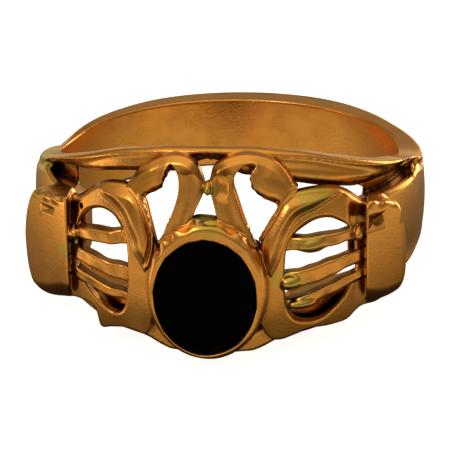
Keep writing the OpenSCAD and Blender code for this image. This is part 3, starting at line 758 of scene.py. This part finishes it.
def shade_and_dirt_at(points, normals):
    """How hemmed in each point is, or how dark a spot it sits on, as painted shade with some dirt, from
    0 in the open to 1 in a corner.
    """
    closed = 0
    for reach, share in REACHES:
        closed = closed + share * np.clip(1 - around(points + normals * reach) / reach, 0, 1)
    p = Spots(*points.T)
    uneven = 0.3 * waves(p, 0.35, seed=131, count=9)
    # Painted shade darkens the upper rail along its lower edge
    rail = smooth_step(*RAIL_SHADE_FROM_SLIT, slit_at(p) + 0.3 * uneven) * smooth_step(*RAIL_SHADE_Z, p.z)
    closed = np.maximum(closed, RAIL_SHADE * rail * (p.y < 0) * (p.r < RAIL_REACH_R))
    # Dark patches of painted shade on the listed spots
    for x, z, wide, tall, share in SHADE_SPOTS:
        away = np.hypot((p.x - x) / wide, (p.z - z) / tall) + uneven
        closed = np.maximum(closed, share * smooth_step(1.2, 0.7, away) * (p.y < 0))
    return closed


# Greener solder. Columns: x, z, radius
SOLDER = [(5.0, 2.9, 0.9), (4.9, 0.65, 0.8), (3.9, -1.15, 0.8), (4.4, -2.4, 0.7), (0.0, 3.5, 0.5),
          (0.0, 2.3, 0.9), (-9.3, 2.7, 0.9), (-7.2, -0.2, 0.5)]


def solder_at(points):
    """Share of solder at each point of the front, from 0 to 1."""
    p = Spots(*points.T)
    uneven = 0.35 * waves(p, 0.6, seed=121, count=9)
    share = 0
    for x, z, radius in SOLDER:
        away = np.hypot(p.x - x, p.z - z) / radius
        share = np.maximum(share, smooth_step(1.1, 0.6, away + uneven))
    return share * (p.y < 0)


TURN = np.array(Matrix.Rotation(-LEAN, 3, "X"))


def to_world(points):
    """From the ring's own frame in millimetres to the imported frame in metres."""
    return (points @ TURN.T + CENTRE_MM) * MM


def piece(name, field, low, high, step):
    """A gold mesh object on the zero level of a field, between two corners of a box."""
    points, faces, normals = surface_of(field, low, high, step)
    mesh = bpy.data.meshes.new(name)
    mesh.from_pydata(to_world(points), [], faces.tolist())
    mesh.polygons.foreach_set("use_smooth", np.ones(len(faces), bool))
    mesh.normals_split_custom_set_from_vertices((normals @ TURN.T).tolist())
    mesh.materials.append(gold)
    # The first attribute holds painted shade, with some dirt, that darkens the gold in corners and on
    # dark spots
    for label, values in (("painted_shade_dirt", shade_and_dirt_at(points, normals)), ("solder", solder_at(points))):
        mesh.attributes.new(label, "FLOAT", "POINT").data.foreach_set("value", values.astype(np.float32))
    obj = bpy.data.objects.new(name, mesh)
    bpy.context.collection.objects.link(obj)
    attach(obj, "root")
    return obj


def soldered(own, others, blend, sink=0.02):
    """A piece with a fillet of solder where it meets its neighbours, which it sinks into."""
    def field(p):
        mine = own(p)
        theirs = others(p) + sink
        return np.maximum(smooth_min(mine, theirs, blend), mine - blend - sink)
    return field


# Materials. The noise scales are in bumps per metre and the bump's height in metres
GOLD = (0.90, 0.43, 0.10, 1)
GOLD_PALE = (0.86, 0.43, 0.13, 1)
SOLDER_GREEN = (0.68, 0.49, 0.12, 1)
# Dark brown for painted shade, with some dirt, in corners and on dark spots
SHADE_DIRT_BROWN = (0.05, 0.014, 0.002, 1)
STONE_BLACK = (0.0002, 0.0002, 0.0006, 1)
FLOOR_GREY = (0.85, 0.85, 0.85, 1)
PATCH_SCALE = 450
POLISH_SCALE = 1100
GRAIN_SCALE = 7000
GRAIN_HEIGHT = 0.00003
STONE_SCALE = 900


def make_material(name):
    material = bpy.data.materials.new(name)
    material.use_nodes = True
    return material, material.node_tree.nodes, material.node_tree.links


def noise(nodes, links, scale, detail=3.0):
    """Noise over the object's own coordinates."""
    place = nodes.new("ShaderNodeTexCoord")
    texture = nodes.new("ShaderNodeTexNoise")
    texture.inputs["Scale"].default_value = scale
    texture.inputs["Detail"].default_value = detail
    links.new(place.outputs["Object"], texture.inputs["Vector"])
    return texture.outputs["Fac"]


def attribute(nodes, name):
    node = nodes.new("ShaderNodeAttribute")
    node.attribute_name = name
    return node.outputs["Fac"]


def remapped(nodes, links, value, low, high, to_low, to_high):
    node = nodes.new("ShaderNodeMapRange")
    for key, number in (("From Min", low), ("From Max", high), ("To Min", to_low), ("To Max", to_high)):
        node.inputs[key].default_value = number
    links.new(value, node.inputs["Value"])
    return node.outputs["Result"]


def blended(nodes, links, share, first, second):
    """Mix of two colours, each a colour or a node's output."""
    node = nodes.new("ShaderNodeMix")
    node.data_type = "RGBA"
    links.new(share, node.inputs["Factor"])
    for socket, colour in ((node.inputs[6], first), (node.inputs[7], second)):
        if isinstance(colour, tuple):
            socket.default_value = colour
        else:
            links.new(colour, socket)
    return node.outputs[2]


def gold_material():
    """Worn rose gold with greener solder, and brown painted shade with some dirt in the corners."""
    material, nodes, links = make_material("worn_gold")
    shader = nodes["Principled BSDF"]
    shader.inputs["Metallic"].default_value = 1.0
    patchy = remapped(nodes, links, noise(nodes, links, PATCH_SCALE), 0.35, 0.65, 0, 1)
    colour = blended(nodes, links, patchy, GOLD, GOLD_PALE)
    colour = blended(nodes, links, attribute(nodes, "solder"), colour, SOLDER_GREEN)
    # Brown painted shade, with some dirt, in corners and on dark spots
    shade_dirt_share = remapped(nodes, links, attribute(nodes, "painted_shade_dirt"), 0.32, 0.95, 0, 0.92)
    colour = blended(nodes, links, shade_dirt_share, colour, SHADE_DIRT_BROWN)
    links.new(colour, shader.inputs["Base Color"])
    rough = remapped(nodes, links, noise(nodes, links, POLISH_SCALE), 0.3, 0.7, 0.18, 0.3)
    links.new(rough, shader.inputs["Roughness"])
    bump = nodes.new("ShaderNodeBump")
    bump.inputs["Strength"].default_value = 0.25
    bump.inputs["Distance"].default_value = GRAIN_HEIGHT
    links.new(noise(nodes, links, GRAIN_SCALE, 4.0), bump.inputs["Height"])
    links.new(bump.outputs["Normal"], shader.inputs["Normal"])
    return material


def stone_material():
    """Black stone with a soft polish."""
    material, nodes, links = make_material("black_stone")
    shader = nodes["Principled BSDF"]
    shader.inputs["Base Color"].default_value = STONE_BLACK
    shader.inputs["Specular IOR Level"].default_value = 0.02
    rough = remapped(nodes, links, noise(nodes, links, STONE_SCALE), 0.3, 0.7, 0.25, 0.4)
    links.new(rough, shader.inputs["Roughness"])
    return material


def floor_material():
    """Matt and pale, with a little light of its own so that it stays nearly white."""
    material, nodes, links = make_material("pale_floor")
    shader = nodes["Principled BSDF"]
    shader.inputs["Base Color"].default_value = FLOOR_GREY
    shader.inputs["Roughness"].default_value = 1.0
    shader.inputs["Specular IOR Level"].default_value = 0.0
    shader.inputs["Emission Color"].default_value = (1, 1, 1, 1)
    shader.inputs["Emission Strength"].default_value = 0.9
    return material


gold = gold_material()

# Metal pieces. The steps are the mesh sizes, finer where the forms are finer
BAND_STEP = 0.11
BLOCK_STEP = 0.07
SCROLL_STEP = 0.06
EAR_STEP = 0.055
BEZEL_STEP = 0.05
# Fillets of solder round the pieces
BLOCK_SOLDER = 0.3
SCROLL_SOLDER = 0.2
FRONT_SOLDER = 0.12


def between(sign, near, far):
    """The two x limits of a piece on one side, from its distances outward."""
    return sorted((sign * near, sign * far))


def both_scrolls(p):
    return np.minimum(scroll_field(p, "right"), scroll_field(p, "left"))


def both_ears(p):
    pair = smooth_min(ear_field(p, "right"), ear_field(p, "left"), TINY_FILLET)
    return smooth_min(pair, bead_field(p), FILLET)


def under_ears(p):
    return np.minimum(np.minimum(both_scrolls(p), band_field(p)), bezel_field(p))


def round_bezel(p):
    return np.minimum(both_scrolls(p), band_field(p))


band = piece("shank_and_rails", band_field, (-10.6, -10.6, -5.3), (10.6, 10.6, 5.3), BAND_STEP)
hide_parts("ring_body")
for side, sign in SIGN.items():
    low_x, high_x = between(sign, 6.9, 10.3)
    block = soldered(lambda p, s=side: block_field(p, s), band_field, BLOCK_SOLDER)
    piece("shoulder_block_" + side, block, (low_x, -10.2, -4.0), (high_x, -4.6, 3.2), BLOCK_STEP)
for side, sign in SIGN.items():
    low_x, high_x = between(sign, 2.0, 8.6)
    scroll = soldered(
        lambda p, s=side: scroll_field(p, s),
        lambda p, s=side: np.minimum(block_field(p, s), band_field(p)), SCROLL_SOLDER)
    piece("scroll_and_bars_" + side, scroll, (low_x, -11.8, -4.6), (high_x, -6.2, 4.0), SCROLL_STEP)
ears = soldered(both_ears, under_ears, FRONT_SOLDER)
piece("ear_loops", ears, (-4.5, -11.9, 0.5), (4.5, -8.8, 5.5), EAR_STEP)
bezel = soldered(bezel_field, round_bezel, FRONT_SOLDER)
piece("bezel", bezel, (-3.2, -12.3, -4.9), (3.2, -8.8, 2.5), BEZEL_STEP)

# The stone keeps the solid's own mesh
stone = frame["nodes"]["black_stone"]
stone.data.materials.clear()
stone.data.materials.append(stone_material())

# Floor
FLOOR_HALF = 0.6
floor_mesh = bpy.data.meshes.new("floor")
floor_mesh.from_pydata([(-FLOOR_HALF, -FLOOR_HALF, 0), (FLOOR_HALF, -FLOOR_HALF, 0),
                        (FLOOR_HALF, FLOOR_HALF, 0), (-FLOOR_HALF, FLOOR_HALF, 0)], [], [(0, 1, 2, 3)])
floor_mesh.materials.append(floor_material())
floor = bpy.data.objects.new("floor", floor_mesh)
bpy.context.collection.objects.link(floor)
# The photo's downward faces are dark, so the metal doesn't mirror this pale floor
floor.visible_glossy = False

# Camera: the photograph's view, given in the ring's own frame
CAMERA_UP = math.radians(20)
CAMERA_TURN = math.radians(6)
CAMERA_ROLL = math.radians(-1)
CAMERA_FAR = 160.0
TARGET = np.array([-0.25, 0.0, -2.2])
FOCAL_PIXELS = 3048.0
FRAME_PIXELS = 452.0
SENSOR_MM = 36.0
level = math.cos(CAMERA_UP)
back = np.array([math.sin(CAMERA_TURN) * level, -math.cos(CAMERA_TURN) * level, math.sin(CAMERA_UP)])
right = np.array([math.cos(CAMERA_TURN), math.sin(CAMERA_TURN), 0.0])
up = np.cross(back, right)
rolled_right = math.cos(CAMERA_ROLL) * right + math.sin(CAMERA_ROLL) * up
rolled_up = -math.sin(CAMERA_ROLL) * right + math.cos(CAMERA_ROLL) * up
camera_data = bpy.data.cameras.new("camera")
camera = bpy.data.objects.new("camera", camera_data)
bpy.context.collection.objects.link(camera)
camera_data.sensor_width = SENSOR_MM
camera_data.lens = FOCAL_PIXELS * SENSOR_MM / FRAME_PIXELS
camera_axes = np.stack([rolled_right, rolled_up, back], 1)
camera_turn = Matrix((TURN @ camera_axes).tolist()).to_quaternion()
camera.matrix_world = Matrix.LocRotScale(Vector(to_world(TARGET + CAMERA_FAR * back)), camera_turn, None)
camera_data.clip_start, camera_data.clip_end = 0.01, 10
bpy.context.scene.camera = camera

# Lights. The surroundings that the metal mirrors, by height. Rows: share of the way from
# straight down to straight up, and brightness
SURROUNDINGS = [(0.0, 0.01), (0.18, 0.04), (0.3, 0.24), (0.4, 0.72), (0.48, 0.58), (0.55, 0.3),
                (0.65, 0.2), (0.8, 0.34), (1.0, 0.9)]
WORLD_TINT = (1, 0.8, 0.45)
world = bpy.data.worlds.new("world")
bpy.context.scene.world = world
world.use_nodes = True
nodes, links = world.node_tree.nodes, world.node_tree.links
direction = nodes.new("ShaderNodeTexCoord")
height = nodes.new("ShaderNodeSeparateXYZ")
links.new(direction.outputs["Generated"], height.inputs["Vector"])
ramp = nodes.new("ShaderNodeValToRGB")
while len(ramp.color_ramp.elements) < len(SURROUNDINGS):
    ramp.color_ramp.elements.new(0.5)
for element, (place, _) in zip(ramp.color_ramp.elements, SURROUNDINGS):
    element.position = place
for element, (_, bright) in zip(ramp.color_ramp.elements, SURROUNDINGS):
    element.color = [bright * tint for tint in WORLD_TINT] + [1]
share = remapped(nodes, links, height.outputs["Z"], -1, 1, 0, 1)
links.new(share, ramp.inputs["Fac"])
links.new(ramp.outputs["Color"], nodes["Background"].inputs["Color"])

# Soft boxes aimed at the ring. Columns: name, place, size and radiance, in metres and W/m2/sr
WARM = (1, 0.84, 0.6)
LIGHTS = [("key", (-0.2, -0.2, 0.4), (0.16, 0.12), 4.5),
          ("front", (-0.1, -0.45, 0.13), (0.4, 0.12), 0.25),
          ("left_side", (-0.45, -0.08, 0.03), (0.2, 0.25), 0.8),
          ("right_side", (0.3, 0.4, 0.02), (0.3, 0.3), 3.0)]
for name, place, size, radiance in LIGHTS:
    data = bpy.data.lights.new(name, "AREA")
    data.shape = "RECTANGLE"
    data.size, data.size_y = size
    data.energy = radiance * math.pi * size[0] * size[1]
    data.color = WARM
    light = bpy.data.objects.new(name, data)
    bpy.context.collection.objects.link(light)
    light.location = place
    light.rotation_euler = (-Vector(place)).to_track_quat("-Z", "Y").to_euler()

bpy.context.scene.view_settings.view_transform = "Standard"
